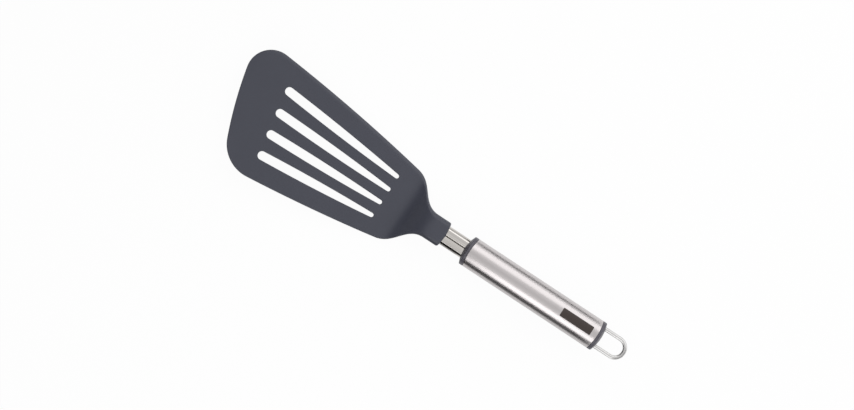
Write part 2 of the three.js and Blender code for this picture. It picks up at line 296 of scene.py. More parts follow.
def corner_centre(radius, one, one_radius, other, other_radius):
    """Centre of a corner that runs into two larger arcs, on the tip's side."""
    near = one_radius - radius
    far = other_radius - radius
    span = other - one
    along = (near ** 2 - far ** 2 + span.length_squared) / (2 * span.length)
    off = math.sqrt(near ** 2 - along ** 2)
    unit = span.normalized()
    square = Vector((-unit.y, unit.x))
    choices = [one + unit * along + square * step for step in (off, -off)]
    return min(choices, key=lambda centre: centre.x)


def arc(centre, radius, start, end, steps):
    """Points along an anticlockwise arc, each with the direction that points out of it."""
    span = (end - start) % (2 * math.pi)
    directions = [start + span * i / steps for i in range(steps + 1)]
    outwards = [Vector((math.cos(angle), math.sin(angle))) for angle in directions]
    return [(centre + radius * outward, outward) for outward in outwards]


lead_side = Vector((-side_radius * math.sin(side_flare), heel_half - side_radius * math.cos(side_flare)))
trail_side = Vector((lead_side.x, -lead_side.y))
front = Vector((front_radius * math.cos(front_slant) - blade_length, front_radius * math.sin(front_slant)))
lead = corner_centre(lead_corner, lead_side, side_radius, front, front_radius)
trail = corner_centre(trail_corner, trail_side, side_radius, front, front_radius)


def side_half(x):
    """Half the blade's width at a place near the heel."""
    return lead_side.y + math.sqrt(side_radius ** 2 - (x - lead_side.x) ** 2)


lead_heel = Vector((-bend_run, side_half(-bend_run)))
trail_heel = Vector((lead_heel.x, -lead_heel.y))
outline = [(lead_heel, Vector((0, 1)))]
for centre, radius, start, end in (
    (lead_side, side_radius, heading(lead_side, lead_heel), heading(lead_side, lead)),
    (lead, lead_corner, heading(lead_side, lead), heading(front, lead)),
    (front, front_radius, heading(front, lead), heading(front, trail)),
    (trail, trail_corner, heading(front, trail), heading(trail_side, trail)),
    (trail_side, side_radius, heading(trail_side, trail), heading(trail_side, trail_heel)),
):
    outline += arc(centre, radius, start, end, arc_steps)[1:]
outline[-1] = (trail_heel, Vector((0, -1)))

# Rows of points from the upper face round the edge to the lower face, as (inset, spread, upper, lift).
# Inset and lift are shares of the edge's rounding, and spread is a share of a strip inside it.
round_turns = [math.pi / 2 * i / round_steps for i in range(round_steps + 1)]
upper_levels = [(1, 1 - i / spread_steps, 1, 0) for i in range(spread_steps)]
upper_levels += [(1 - math.sin(turn), 0, 1, math.cos(turn) - 1) for turn in round_turns]
lower_levels = [(inset, spread, 1 - upper, -lift) for inset, spread, upper, lift in reversed(upper_levels)]
levels = upper_levels + lower_levels
thinning = (1 - front_thickness / heel_thickness) / blade_length


def lead_drop(x):
    """How far the blade's lead edge is bevelled at a place from the heel, before the blade is thinned."""
    return min(bevel_limit, bevel_depth / (1 + thinning * x))


def bevel(inset):
    """Share of the bevel's depth at a distance in from the edge."""
    return max(0.0, 1 - inset / bevel_width) ** 2


def neck_section(half, bottom, top, corner, spread, drop=0.0):
    """Rounded rectangle as (across, up) pairs: lead side, lower face, trail side and upper face."""
    lead_part = []
    trail_part = []
    for inset, share, upper, lift in levels:
        from_edge = inset * corner + share * spread
        height = bottom + (top - bottom) * upper + lift * corner
        lead_part.append((half - from_edge, height - upper * drop * bevel(from_edge)))
        trail_part.append((from_edge - half, height))
    flat = half - corner - spread
    row = [flat * (1 - 2 * i / row_steps) for i in range(1, row_steps)]
    return (
        lead_part
        + [(across, bottom) for across in row]
        + trail_part[::-1]
        + [(-across, top) for across in row]
    )


def neck_ring(x, section, bow=0.0):
    """A section at one place from the heel, with its middle bowed out towards the handle."""
    return [Vector((x - bow * (across / socket_half) ** 2, across, up)) for across, up in section]


def bezier(a, b, c, d, t):
    """Value on a cubic curve from a to d, pulled towards b and c."""
    s = 1 - t
    return a * s ** 3 + 3 * b * s * s * t + 3 * c * s * t * t + d * t ** 3


def ramp(x, start, end):
    """Height of a curve that is level up to its start and climbs one in one from its end on."""
    share = min(1.0, max(0.0, (x - start) / (end - start)))
    return (end - start) * share ** 3 * (1 - share / 2) + max(0.0, x - end)


def rise(low, high, x, bends):
    """Height at a place on a double curve from one level to another."""
    start, steep_start, steep_end, end = bends
    whole = (steep_end + end - start - steep_start) / 2
    return low + (high - low) * (ramp(x, start, steep_start) - ramp(x, steep_end, end)) / whole


socket_low = handle_axis.z - socket_up
socket_high = handle_axis.z + socket_up
shoulder_pull = heel_half - neck_ease * math.tan(side_flare)


def crowned_ring(x, half, corner, spread, drop=0.0, bow=0.0):
    """Ring of the neck or the socket, with its top and bottom on the curves of the side view."""
    top = rise(heel_thickness - x * math.tan(blade_rise), socket_high, x, crown_bends)
    bottom = rise(0, socket_low, x, sole_bends)
    return neck_ring(x, neck_section(half, bottom, top, corner, spread, drop), bow)


rings = []
for i in range(bend_steps):
    x = bend_run * (i / bend_steps - 1)
    section = neck_section(side_half(x), 0, heel_thickness, blade_edge, heel_spread, lead_drop(x))
    rings.append(neck_ring(x, section))
for i in range(neck_steps + 1):
    t = i / neck_steps
    rings.append(crowned_ring(
        bezier(0, neck_ease, neck_length - neck_ease, neck_length, t),
        bezier(heel_half, shoulder_pull, socket_half, socket_half, t),
        blade_edge + (socket_corner - blade_edge) * t,
        heel_spread + (socket_spread - heel_spread) * t,
        lead_drop(0) * (1 - t),
    ))
socket_end = neck_length + socket_length
for i in range(1, socket_steps + 1):
    share = i / socket_steps
    x = neck_length + (socket_length - socket_round) * share
    rings.append(crowned_ring(x, socket_half, socket_corner, socket_spread, bow=socket_bow * share ** 2))
for turn in round_turns[1:]:
    inset = socket_round * (1 - math.cos(turn))
    section = neck_section(
        socket_half - inset, socket_low + inset, socket_high - inset, socket_corner - inset, socket_spread)
    rings.append(neck_ring(socket_end - socket_round * (1 - math.sin(turn)), section, socket_bow))

edge_rows = []
for inset, spread, upper, lift in levels:
    from_edge = inset * blade_edge + spread * heel_spread
    row = []
    for place, outward in outline:
        x, y = place - outward * from_edge
        drop = lead_drop(x) * max(0.0, outward.y) * bevel(from_edge)
        row.append(Vector((x, y, (heel_thickness - drop) * upper + lift * blade_edge)))
    edge_rows.append(row)
moulding = bmesh.new()
blade_rows = add_skin(moulding, edge_rows, closed=False)
neck_rows = add_skin(moulding, rings)
end_row = neck_rows[-1]
level_count = len(levels)
for i in range(level_count // 2, len(end_row) // 2 + level_count // 2 - 1):
    moulding.faces.new((
        end_row[i], end_row[i + 1], end_row[level_count - 2 - i], end_row[level_count - 1 - i]))
lower_row = neck_rows[0][level_count:level_count + row_steps - 1]
upper_row = neck_rows[0][1 - row_steps:]
moulding.faces.new(blade_rows[0] + upper_row)
moulding.faces.new(blade_rows[-1] + lower_row[::-1])
head = make_object("moulded_head", moulding)

# Slots: they fan out from a point behind the heel. Each has a wide front end on a slanted line, a
# narrow rear end on a straight one, slightly bowed sides and softened rims.
slot_count = 4
slot_fan = math.radians(3.25)
fan_reach = 188.0
fan_aside = -0.3
slot_front = blade_length - 30.9
slot_front_slant = math.radians(10)
slot_heel_margin = 9.5
slot_wide = 3.23
slot_narrow = 1.63
slot_bow = 0.7
slot_drawn = 100.0
rim_round = 0.5
rim_turn = math.radians(75)
rim_steps = 10
rim_overshoot = 0.1
slot_end_steps = 24
slot_side_steps = 20

front_middle = Vector((slot_wide - slot_drawn, 0))
rear_middle = Vector((-slot_narrow, 0))
bulge = (slot_wide + slot_narrow) / 2 + 2 * slot_bow
slot_plan = [point for point, _ in arc(front_middle, slot_wide, math.pi / 2, 1.5 * math.pi, slot_end_steps)]
rear_end = [point for point, _ in arc(rear_middle, slot_narrow, -math.pi / 2, math.pi / 2, slot_end_steps)]
for side in (-1, 1):
    ends = (front_middle.x, side * slot_wide), (rear_middle.x, side * slot_narrow)
    (x0, y0), (x1, y1) = ends if side < 0 else ends[::-1]
    for i in range(1, slot_side_steps):
        t = i / slot_side_steps
        y = y0 * (1 - t) ** 2 + 2 * side * bulge * t * (1 - t) + y1 * t * t
        slot_plan.append(Vector((x0 + (x1 - x0) * t, y)))
    if side < 0:
        slot_plan += rear_end

rim = []
for i in range(rim_steps + 1):
    turn = rim_turn * i / rim_steps
    rim.append((rim_round * (1 - math.cos(turn)), rim_round * (math.sin(rim_turn) - math.sin(turn))))
rim.append((rim[-1][0] + rim_overshoot * math.tan(rim_turn), -rim_overshoot))
walls = [(out, depth) for out, depth in reversed(rim)]
walls += [(out, heel_thickness - depth) for out, depth in rim]

plan_count = len(slot_plan)
outwards = []
for i in range(plan_count):
    along = slot_plan[(i + 1) % plan_count] - slot_plan[i - 1]
    outwards.append(Vector((along.y, -along.x)).normalized())
tool_mesh = bmesh.new()
add_bar(tool_mesh, [
    [(point + outward * out).to_3d() + Vector((0, 0, up)) for point, outward in zip(slot_plan, outwards)]
    for out, up in walls
])
slot_tool = make_object("slot_tool", tool_mesh)
reach_share = slot_tool.data.attributes.new("reach_share", "FLOAT", "POINT")
for vertex in slot_tool.data.vertices:
    share = (rear_middle.x - vertex.co.x) / (rear_middle.x - front_middle.x)
    reach_share.data[vertex.index].value = min(1.0, max(0.0, share))


def nodes_tree(name, sockets):
    """An empty geometry tree with named inputs, and a dictionary of its input sockets."""
    tree = bpy.data.node_groups.new(name, "GeometryNodeTree")
    for socket, kind in sockets.items():
        tree.interface.new_socket(name=socket, in_out="INPUT", socket_type="NodeSocket" + kind)
    tree.interface.new_socket(name="Piece", in_out="OUTPUT", socket_type="NodeSocketGeometry")
    return tree, add_node(tree, "NodeGroupInput").outputs


def run_tree(piece, tree, values):
    """Runs a geometry tree on a piece with its inputs set, and keeps the result as a plain mesh."""
    modifier = piece.modifiers.new(tree.name, "NODES")
    modifier.node_group = tree
    for item in tree.interface.items_tree:
        if item.name in values:
            modifier[item.identifier] = values[item.name]
    return settle(piece)


def settle(piece):
    """The piece with what its modifiers make as its own mesh."""
    shape = piece.evaluated_get(bpy.context.evaluated_depsgraph_get())
    data = bpy.data.meshes.new_from_object(shape)
    piece.modifiers.clear()
    piece.data = data
    return piece


def cut(piece, tool):
    """Takes a tool's shape out of a piece and removes the tool."""
    modifier = piece.modifiers.new("cut", "BOOLEAN")
    modifier.solver = "EXACT"
    modifier.object = tool
    settle(piece)
    bpy.data.objects.remove(tool)


slots, given = nodes_tree("fanned slots", {
    "Head": "Geometry", "Slot": "Object", "Drawn length": "Float", "Count": "Int", "Fan angle": "Float",
    "Fan reach": "Float", "Fan aside": "Float", "Heel margin": "Float", "Front": "Float",
    "Front slant": "Float", "Material": "Material",
})
last = add_node(slots, "ShaderNodeMath", {"operation": "SUBTRACT"}, {0: given["Count"], 1: 1.0})
centre = add_node(slots, "ShaderNodeMath", {"operation": "DIVIDE"}, {0: last.outputs[0], 1: 2.0})
number = add_node(slots, "GeometryNodeInputIndex")
place = add_node(slots, "ShaderNodeMath", {"operation": "SUBTRACT"}, {
    0: centre.outputs[0], 1: number.outputs[0]})
turn = add_node(slots, "ShaderNodeMath", {"operation": "MULTIPLY"}, {
    0: place.outputs[0], 1: given["Fan angle"]}).outputs[0]
sine = add_node(slots, "ShaderNodeMath", {"operation": "SINE"}, {0: turn}).outputs[0]
cosine = add_node(slots, "ShaderNodeMath", {"operation": "COSINE"}, {0: turn}).outputs[0]
slant = add_node(slots, "ShaderNodeMath", {"operation": "TANGENT"}, {0: given["Front slant"]})
lean = add_node(slots, "ShaderNodeMath", {"operation": "MULTIPLY_ADD"}, {
    0: slant.outputs[0], 1: sine, 2: cosine})
front_line = add_node(slots, "ShaderNodeMath", {"operation": "ADD"}, {
    0: given["Fan reach"], 1: given["Front"]})
front_reach = add_node(slots, "ShaderNodeMath", {"operation": "DIVIDE"}, {
    0: front_line.outputs[0], 1: lean.outputs[0]})
heel_line = add_node(slots, "ShaderNodeMath", {"operation": "ADD"}, {
    0: given["Fan reach"], 1: given["Heel margin"]})
rear_reach = add_node(slots, "ShaderNodeMath", {"operation": "DIVIDE"}, {0: heel_line.outputs[0], 1: cosine})
length = add_node(slots, "ShaderNodeMath", {"operation": "SUBTRACT"}, {
    0: front_reach.outputs[0], 1: rear_reach.outputs[0]})
spare = add_node(slots, "ShaderNodeMath", {"operation": "SUBTRACT"}, {
    0: length.outputs[0], 1: given["Drawn length"]})
towards = add_node(slots, "ShaderNodeCombineXYZ", {}, {"X": cosine, "Y": sine})
rear_offset = add_node(slots, "ShaderNodeVectorMath", {"operation": "SCALE"}, {
    "Vector": towards.outputs[0], "Scale": rear_reach.outputs[0]})
fan_point = add_node(slots, "ShaderNodeCombineXYZ", {}, {"X": given["Fan reach"], "Y": given["Fan aside"]})
rear_place = add_node(slots, "ShaderNodeVectorMath", {"operation": "SUBTRACT"}, {
    0: fan_point.outputs[0], 1: rear_offset.outputs[0]})
points = add_node(slots, "GeometryNodePoints", {}, {
    "Count": given["Count"], "Position": rear_place.outputs[0]})
lengthening = add_node(slots, "ShaderNodeVectorMath", {"operation": "SCALE"}, {
    "Vector": towards.outputs[0], "Scale": spare.outputs[0]})
marked = add_node(slots, "GeometryNodeStoreNamedAttribute", {"data_type": "FLOAT_VECTOR"}, {
    "Geometry": points.outputs[0], "Name": "lengthening", "Value": lengthening.outputs[0]})
turned = add_node(slots, "ShaderNodeCombineXYZ", {}, {"Z": turn})
shape = add_node(slots, "GeometryNodeObjectInfo", {}, {"Object": given["Slot"]})
copies = add_node(slots, "GeometryNodeInstanceOnPoints", {}, {
    "Points": marked.outputs[0], "Instance": shape.outputs["Geometry"], "Rotation": turned.outputs[0]})
solid_copies = add_node(slots, "GeometryNodeRealizeInstances", {}, {"Geometry": copies.outputs[0]})
share = add_node(slots, "GeometryNodeInputNamedAttribute", {"data_type": "FLOAT"}, {"Name": "reach_share"})
whole = add_node(slots, "GeometryNodeInputNamedAttribute", {"data_type": "FLOAT_VECTOR"}, {
    "Name": "lengthening"})
moved = add_node(slots, "ShaderNodeVectorMath", {"operation": "SCALE"}, {
    "Vector": whole.outputs[0], "Scale": share.outputs[0]})
back = add_node(slots, "ShaderNodeVectorMath", {"operation": "SCALE"}, {
    "Vector": moved.outputs[0], "Scale": -1.0})
fitted = add_node(slots, "GeometryNodeSetPosition", {}, {
    "Geometry": solid_copies.outputs[0], "Offset": back.outputs[0]})
pierced = add_node(slots, "GeometryNodeMeshBoolean", {"operation": "DIFFERENCE", "solver": "EXACT"}, {
    "Mesh 1": given["Head"], "Mesh 2": fitted.outputs[0]})
realized = add_node(slots, "GeometryNodeRealizeInstances", {}, {"Geometry": pierced.outputs[0]})
covered = add_node(slots, "GeometryNodeSetMaterial", {}, {
    "Geometry": realized.outputs[0], "Material": given["Material"]})
add_node(slots, "NodeGroupOutput", {}, {"Piece": covered.outputs[0]})

# The mould's grain is about 0.1 mm on the real piece, and is drawn coarser so that it shows.
cloud_size = 18.0
grain_size = 0.6
grain_relief = 0.012
grain_share = 0.35
gloss_spread = 0.03
nylon_ior = 1.53


def nylon(name, dark, light, roughness):
    """Moulded nylon with a satin, spark-eroded skin: an even tone with faint clouds and a soft gloss."""
    material = bpy.data.materials.new(name)
    material.use_nodes = True
    tree = material.node_tree
    shader = tree.nodes["Principled BSDF"]
    shader.inputs["IOR"].default_value = nylon_ior
    place = add_node(tree, "ShaderNodeTexCoord").outputs["Object"]
    clouds = add_node(tree, "ShaderNodeTexNoise", {}, {
        "Vector": place, "Scale": 1 / (cloud_size * mm), "Detail": 3.0})
    grain = add_node(tree, "ShaderNodeTexNoise", {}, {
        "Vector": place, "Scale": 1 / (grain_size * mm), "Detail": 2.0})
    mottle = add_node(tree, "ShaderNodeMix", {"data_type": "FLOAT"}, {
        0: grain_share, 2: clouds.outputs["Fac"], 3: grain.outputs["Fac"]})
    tone = add_node(tree, "ShaderNodeMix", {"data_type": "RGBA"}, {
        0: mottle.outputs[0], 6: linear(dark), 7: linear(light)})
    gloss = add_node(tree, "ShaderNodeMapRange", {}, {
        "Value": clouds.outputs["Fac"], "From Min": noise_low, "From Max": noise_high,
        "To Min": roughness - gloss_spread, "To Max": roughness + gloss_spread})
    bump = add_node(tree, "ShaderNodeBump", {}, {
        "Height": grain.outputs["Fac"], "Strength": 1.0, "Distance": grain_relief * mm})
    tree.links.new(tone.outputs[2], shader.inputs["Base Color"])
    tree.links.new(gloss.outputs["Result"], shader.inputs["Roughness"])
    tree.links.new(bump.outputs["Normal"], shader.inputs["Normal"])
    return material


head_nylon = nylon("moulded slate nylon", "#3C3E4A", "#464854", roughness=0.44)
run_tree(head, slots, {
    "Slot": slot_tool, "Drawn length": slot_drawn, "Count": slot_count, "Fan angle": slot_fan,
    "Fan reach": fan_reach, "Fan aside": fan_aside, "Heel margin": slot_heel_margin, "Front": slot_front,
    "Front slant": slot_front_slant, "Material": head_nylon,
})
bpy.data.objects.remove(slot_tool)

for vertex in head.data.vertices:
    x, y, up = vertex.co
    if x < 0:
        up *= 1 + thinning * x
        share = min(1.0, -x / bend_run)
        share *= share * (3 - 2 * share)
        x, up = (
            x * math.cos(blade_rise) + up * math.sin(blade_rise) * share,
            up * (1 - (1 - math.cos(blade_rise)) * share) - x * math.sin(blade_rise),
        )
    vertex.co = (heel_x + x, handle_axis.y + y, up)
pocket = bmesh.new()
add_bar(pocket, [
    bar_ring(head_high.x - tang_depth, pocket_gap),
    bar_ring(head_high.x + tang_depth, pocket_gap),
])
cut(head, make_object("shank_pocket", pocket))
complete(head, crease=13)
# The blade's two flat faces keep their own shading up to the rims of the slots.
for face in head.data.polygons:
    if face.loop_total > plan_count:
        for corner in face.loop_indices:
            head.data.edges[head.data.loops[corner].edge_index].use_edge_sharp = True
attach(head, "root")
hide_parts("turner_head")

# Front collar
# A nylon stopper moulded round the shank: a domed flange, flush with the tube, and a plug that is
# pressed into it. The flange's rear face follows the tube's bowed end.
collar_rim = 3.2
collar_dome = 2.4
collar_plug = 17.0
flange_round = 0.8
flange_lip = 0.15
end_bow = 1.2
seam_gap = 0.1
plug_chamfer = 1.0
tube_wall = 0.9
fit = 0.3
round_segments = 128
dome_steps = 12

tube_low, tube_high = box_mm("handle_tube")
tube_radius = (tube_high.y - tube_low.y) / 2
bore_radius = tube_radius - tube_wall
bow_radius = (tube_radius ** 2 + end_bow ** 2) / (2 * end_bow)


def tube_end(across):
    """How far the tube's end lies in from its top line, at a place across the tube."""
    return bow_radius - math.sqrt(bow_radius ** 2 - across ** 2)


def round_ring(front_end, radius, inwards, bowed=False):
    """A ring about the handle's axis at a depth from one end of the tube, following its bow if asked."""
    ring = []
    for i in range(round_segments):
        angle = 2 * math.pi * i / round_segments
        across = radius * math.sin(angle)
        depth = inwards + (tube_end(across) if bowed else 0)
        x = tube_low.x + depth if front_end else tube_high.x - depth
        ring.append(Vector((x, handle_axis.y + across, handle_axis.z + radius * math.cos(angle))))
    return ring


def stopper(name, front_end, rim, dome, plug):
    """Domed flange and plug for one end of the tube."""
    rim_face = end_bow - fit - rim
    dome_edge = tube_radius - flange_round
    dome_radius = (dome_edge ** 2 + dome ** 2) / (2 * dome)
    dome_half = math.asin(dome_edge / dome_radius)
    plug_radius = bore_radius - seam_gap
    rings = []
    for i in range(dome_steps + 1):
        angle = dome_half * i / dome_steps
        inwards = rim_face - dome + dome_radius * (1 - math.cos(angle))
        rings.append(round_ring(front_end, dome_radius * math.sin(angle), inwards))
    for turn in round_turns[1:]:
        radius = dome_edge + flange_round * math.sin(turn)
        rings.append(round_ring(front_end, radius, rim_face + flange_round * (1 - math.cos(turn))))
    rings.append(round_ring(front_end, tube_radius, -seam_gap - flange_lip, True))
    rings.append(round_ring(front_end, tube_radius - flange_lip, -seam_gap, True))
    rings.append(round_ring(front_end, plug_radius, -seam_gap, True))
    rings.append(round_ring(front_end, plug_radius, plug - plug_chamfer))
    rings.append(round_ring(front_end, plug_radius - plug_chamfer, plug))
    rings.append(round_ring(front_end, 0, plug))
    mesh = bmesh.new()
    add_skin(mesh, rings)
    return make_object(name, mesh)


# Moulded like the head, in a slightly paler grey with a violet cast.
handle_nylon = nylon("moulded violet-grey nylon", "#4E4C54", "#58565F", roughness=0.42)
collar = stopper("moulded_collar", True, collar_rim, collar_dome, collar_plug)
passage = bmesh.new()
add_bar(passage, [bar_ring(head_high.x, pocket_gap), bar_ring(tube_high.x, pocket_gap)])
cut(collar, make_object("shank_passage", passage))
complete(collar, crease=30)
collar.data.materials.append(handle_nylon)
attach(collar, "root")
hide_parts("front_collar")

# Handle tube
# Seamed stainless steel tube, brushed along its length, with both ends cut to a shallow bow and
# deburred. It is pressed over the collar's and the end cap's plugs. A plain dark bar is printed on it.
burr_round = 0.2
burr_steps = 4
# The printed bar's place and size. The blur of its edge is a share of its corner's radius.
print_front = 117.25
print_rear = 143.15
print_lead = 3.0
print_trail = -3.8
print_corner = 0.6
print_tone = "#3A2F2B"
print_roughness = 0.5
print_blur = 0.1

burr = [math.pi / 2 * i / burr_steps for i in range(burr_steps + 1)]
front_rings = []
for turn in burr:
    front_rings.append((bore_radius + burr_round * (1 - math.cos(turn)), burr_round * (1 - math.sin(turn))))
for turn in burr:
    front_rings.append((tube_radius - burr_round * (1 - math.sin(turn)), burr_round * (1 - math.cos(turn))))
wall = [round_ring(True, radius, inwards, True) for radius, inwards in front_rings]
wall += [round_ring(False, radius, inwards, True) for radius, inwards in reversed(front_rings)]
wall.append(wall[0])
tube_mesh = bmesh.new()
add_skin(tube_mesh, wall)
tube = make_object("brushed_tube", tube_mesh)
complete(tube, crease=30)

# Brushed stainless steel: a soft, bright mirror with faint lines along its length. The real
# lines are under 0.1 mm wide, and are drawn coarser so that they show. The print is a flat ink.
brushed_steel, tree, shader = steel(
    "brushed stainless steel", "#C3BEBE", "#D0CBCB", roughness=0.29, spread=0.015,
    line_length=120.0, line_width=0.8, relief=0.0001)
place = add_node(tree, "ShaderNodeTexCoord").outputs["Object"]
print_middle = Vector((print_front + print_rear, print_lead + print_trail, 2 * tube_high.z)) / 2 * mm
print_half = Vector((print_rear - print_front, print_lead - print_trail, 2 * tube_radius)) / 2 * mm
from_middle = add_node(tree, "ShaderNodeVectorMath", {"operation": "SUBTRACT"}, {0: place, 1: print_middle})
sizes = add_node(tree, "ShaderNodeVectorMath", {"operation": "ABSOLUTE"}, {0: from_middle.outputs[0]})
inner = print_half - Vector((1, 1, 1)) * print_corner * mm
past = add_node(tree, "ShaderNodeVectorMath", {"operation": "SUBTRACT"}, {0: sizes.outputs[0], 1: inner})
beyond = add_node(tree, "ShaderNodeVectorMath", {"operation": "MAXIMUM"}, {0: past.outputs[0], 1: (0, 0, 0)})
edge = add_node(tree, "ShaderNodeVectorMath", {"operation": "LENGTH"}, {0: beyond.outputs[0]})
ink = add_node(tree, "ShaderNodeMapRange", {}, {
    "Value": edge.outputs["Value"],
    "From Min": print_corner * mm * (1 - print_blur), "From Max": print_corner * mm * (1 + print_blur),
    "To Min": 1.0, "To Max": 0.0}).outputs["Result"]
bare = add_node(tree, "ShaderNodeMath", {"operation": "SUBTRACT"}, {0: 1.0, 1: ink})
tone = shader.inputs["Base Color"].links[0].from_socket
gloss = shader.inputs["Roughness"].links[0].from_socket
printed = add_node(tree, "ShaderNodeMix", {"data_type": "RGBA"}, {0: ink, 6: tone, 7: linear(print_tone)})
dulled = add_node(tree, "ShaderNodeMix", {"data_type": "FLOAT"}, {0: ink, 2: gloss, 3: print_roughness})
tree.links.new(printed.outputs[2], shader.inputs["Base Color"])
tree.links.new(dulled.outputs[0], shader.inputs["Roughness"])
tree.links.new(bare.outputs[0], shader.inputs["Metallic"])
tube.data.materials.append(brushed_steel)
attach(tube, "root")
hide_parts("handle_tube")

# End cap
# The same kind of nylon stopper with a shorter plug, pressed into the rear of the tube. The two legs
# of the hanging loop pass through it.
cap_rim = 3.1
cap_dome = 1.9
cap_plug = 11.0
wire_radius = 1.6
leg_inset = 4.2
leg_offset = tube_radius - leg_inset
wire_gap = 0.12
hole_segments = 48

cap = stopper("moulded_cap", False, cap_rim, cap_dome, cap_plug)
for side in (1, -1):
    hole = bmesh.new()
    hole_radius = wire_radius + wire_gap
    ends = []
    for x in (tube_low.x, tube_high.x + cap_plug):
        angles = [2 * math.pi * i / hole_segments for i in range(hole_segments)]
        ends.append([
            Vector((
                x,
                handle_axis.y + side * leg_offset + hole_radius * math.cos(angle),
                handle_axis.z + hole_radius * math.sin(angle),
            ))
            for angle in angles
        ])
    add_bar(hole, ends)
    cut(cap, make_object("leg_hole", hole))
complete(cap, crease=30)
cap.data.materials.append(handle_nylon)
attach(cap, "root")
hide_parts("end_cap")

# Hanging loop
# Polished stainless steel wire, bent to a narrow loop. Its feet are bent inwards behind the end
# cap's plug, so that it can't be pulled out.
loop_corner = 7.2
foot_bend = 3.0
foot_reach = 5.0
bend_points = 16
wire_segments = 48

loop_low, loop_high = box_mm("hanging_loop")
foot_x = loop_low.x + wire_radius
far_x = loop_high.x - wire_radius
route = [
    (foot_x, leg_offset - foot_reach, 0.0),
    (foot_x, leg_offset, foot_bend),
    (far_x, leg_offset, loop_corner),
    (far_x, -leg_offset, loop_corner),
    (foot_x, -leg_offset, foot_bend),
    (foot_x, foot_reach - leg_offset, 0.0),
]
wire_data = bpy.data.meshes.new("wire_loop")
wire_data.from_pydata(
    [(x, handle_axis.y + across, handle_axis.z) for x, across, _ in route],
    [(i, i + 1) for i in range(len(route) - 1)],
    [],
)
bends = wire_data.attributes.new("bend_radius", "FLOAT", "POINT")
bends.data.foreach_set("value", [bend for _, _, bend in route])
loop = bpy.data.objects.new("wire_loop", wire_data)
bpy.context.collection.objects.link(loop)

# Polished stainless wire: a bright mirror with faint draw lines along it. The real lines are a few
# hundredths of a millimetre wide, and are drawn coarser so that they show.
draw_line_width = 1 / 3
draw_line_length = 50 / 3
draw_relief = 0.003
wire_gloss = (0.24, 0.34)

wire_steel = bpy.data.materials.new("polished stainless wire")
wire_steel.use_nodes = True
tree = wire_steel.node_tree
shader = tree.nodes["Principled BSDF"]
shader.inputs["Metallic"].default_value = 1.0
around = add_node(tree, "ShaderNodeAttribute", {"attribute_name": "around"})
along = add_node(tree, "ShaderNodeAttribute", {"attribute_name": "along"})
split = add_node(tree, "ShaderNodeSeparateXYZ", {}, {0: around.outputs["Vector"]})
line_place = add_node(tree, "ShaderNodeCombineXYZ", {}, {
    "X": split.outputs["X"], "Y": split.outputs["Y"], "Z": along.outputs["Fac"]})
across = 1 / draw_line_width
stretch = add_node(tree, "ShaderNodeMapping", {}, {
    "Vector": line_place.outputs[0], "Scale": (across, across, 1 / draw_line_length)})
lines = add_node(tree, "ShaderNodeTexNoise", {}, {
    "Vector": stretch.outputs["Vector"], "Scale": 1.0, "Detail": 3.0}).outputs["Fac"]
tone = add_node(tree, "ShaderNodeMix", {"data_type": "RGBA"}, {
    0: lines, 6: linear("#C8C7C6"), 7: linear("#D6D5D4")})
gloss = add_node(tree, "ShaderNodeMapRange", {}, {
    "Value": lines, "To Min": wire_gloss[0], "To Max": wire_gloss[1]})
bump = add_node(tree, "ShaderNodeBump", {}, {
    "Height": lines, "Strength": 1.0, "Distance": draw_relief * mm})
tree.links.new(tone.outputs[2], shader.inputs["Base Color"])
tree.links.new(gloss.outputs["Result"], shader.inputs["Roughness"])
tree.links.new(bump.outputs["Normal"], shader.inputs["Normal"])

bent_wire, given = nodes_tree("bent wire", {
    "Route": "Geometry", "Wire radius": "Float", "Bend points": "Int", "Segments": "Int",
    "Material": "Material",
})
line = add_node(bent_wire, "GeometryNodeMeshToCurve", {}, {"Mesh": given["Route"]})
bend = add_node(bent_wire, "GeometryNodeInputNamedAttribute", {"data_type": "FLOAT"}, {"Name": "bend_radius"})
rounded = add_node(bent_wire, "GeometryNodeFilletCurve", {"mode": "POLY"}, {
    "Curve": line.outputs[0], "Count": given["Bend points"], "Radius": bend.outputs[0]})
spline = add_node(bent_wire, "GeometryNodeSplineParameter")
measured = add_node(bent_wire, "GeometryNodeStoreNamedAttribute", {"data_type": "FLOAT"}, {
    "Geometry": rounded.outputs[0], "Name": "along", "Value": spline.outputs["Length"]})
circle = add_node(bent_wire, "GeometryNodeCurvePrimitiveCircle", {}, {
    "Resolution": given["Segments"], "Radius": given["Wire radius"]})
position = add_node(bent_wire, "GeometryNodeInputPosition")
marked = add_node(bent_wire, "GeometryNodeStoreNamedAttribute", {"data_type": "FLOAT_VECTOR"}, {
    "Geometry": circle.outputs["Curve"], "Name": "around", "Value": position.outputs[0]})
swept = add_node(bent_wire, "GeometryNodeCurveToMesh", {}, {
    "Curve": measured.outputs[0], "Profile Curve": marked.outputs[0], "Fill Caps": True})
realized = add_node(bent_wire, "GeometryNodeRealizeInstances", {}, {"Geometry": swept.outputs[0]})
covered = add_node(bent_wire, "GeometryNodeSetMaterial", {}, {
    "Geometry": realized.outputs[0], "Material": given["Material"]})
add_node(bent_wire, "NodeGroupOutput", {}, {"Piece": covered.outputs[0]})
run_tree(loop, bent_wire, {
    "Wire radius": wire_radius, "Bend points": bend_points, "Segments": wire_segments,
    "Material": wire_steel,
})
complete(loop, crease=30)
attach(loop, "root")
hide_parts("hanging_loop")

# Floor
# A plain white studio floor that curves up into a round wall. It looks white to the camera and in the
# steel, and part of that is lit, so that the tool's soft shadow stays on it.
floor_radius = 5.0
sweep_radius = 0.5
wall_height = 0.9
floor_drop = 0.00005
floor_glow = 0.955
floor_segments = 96
sweep_steps = 12

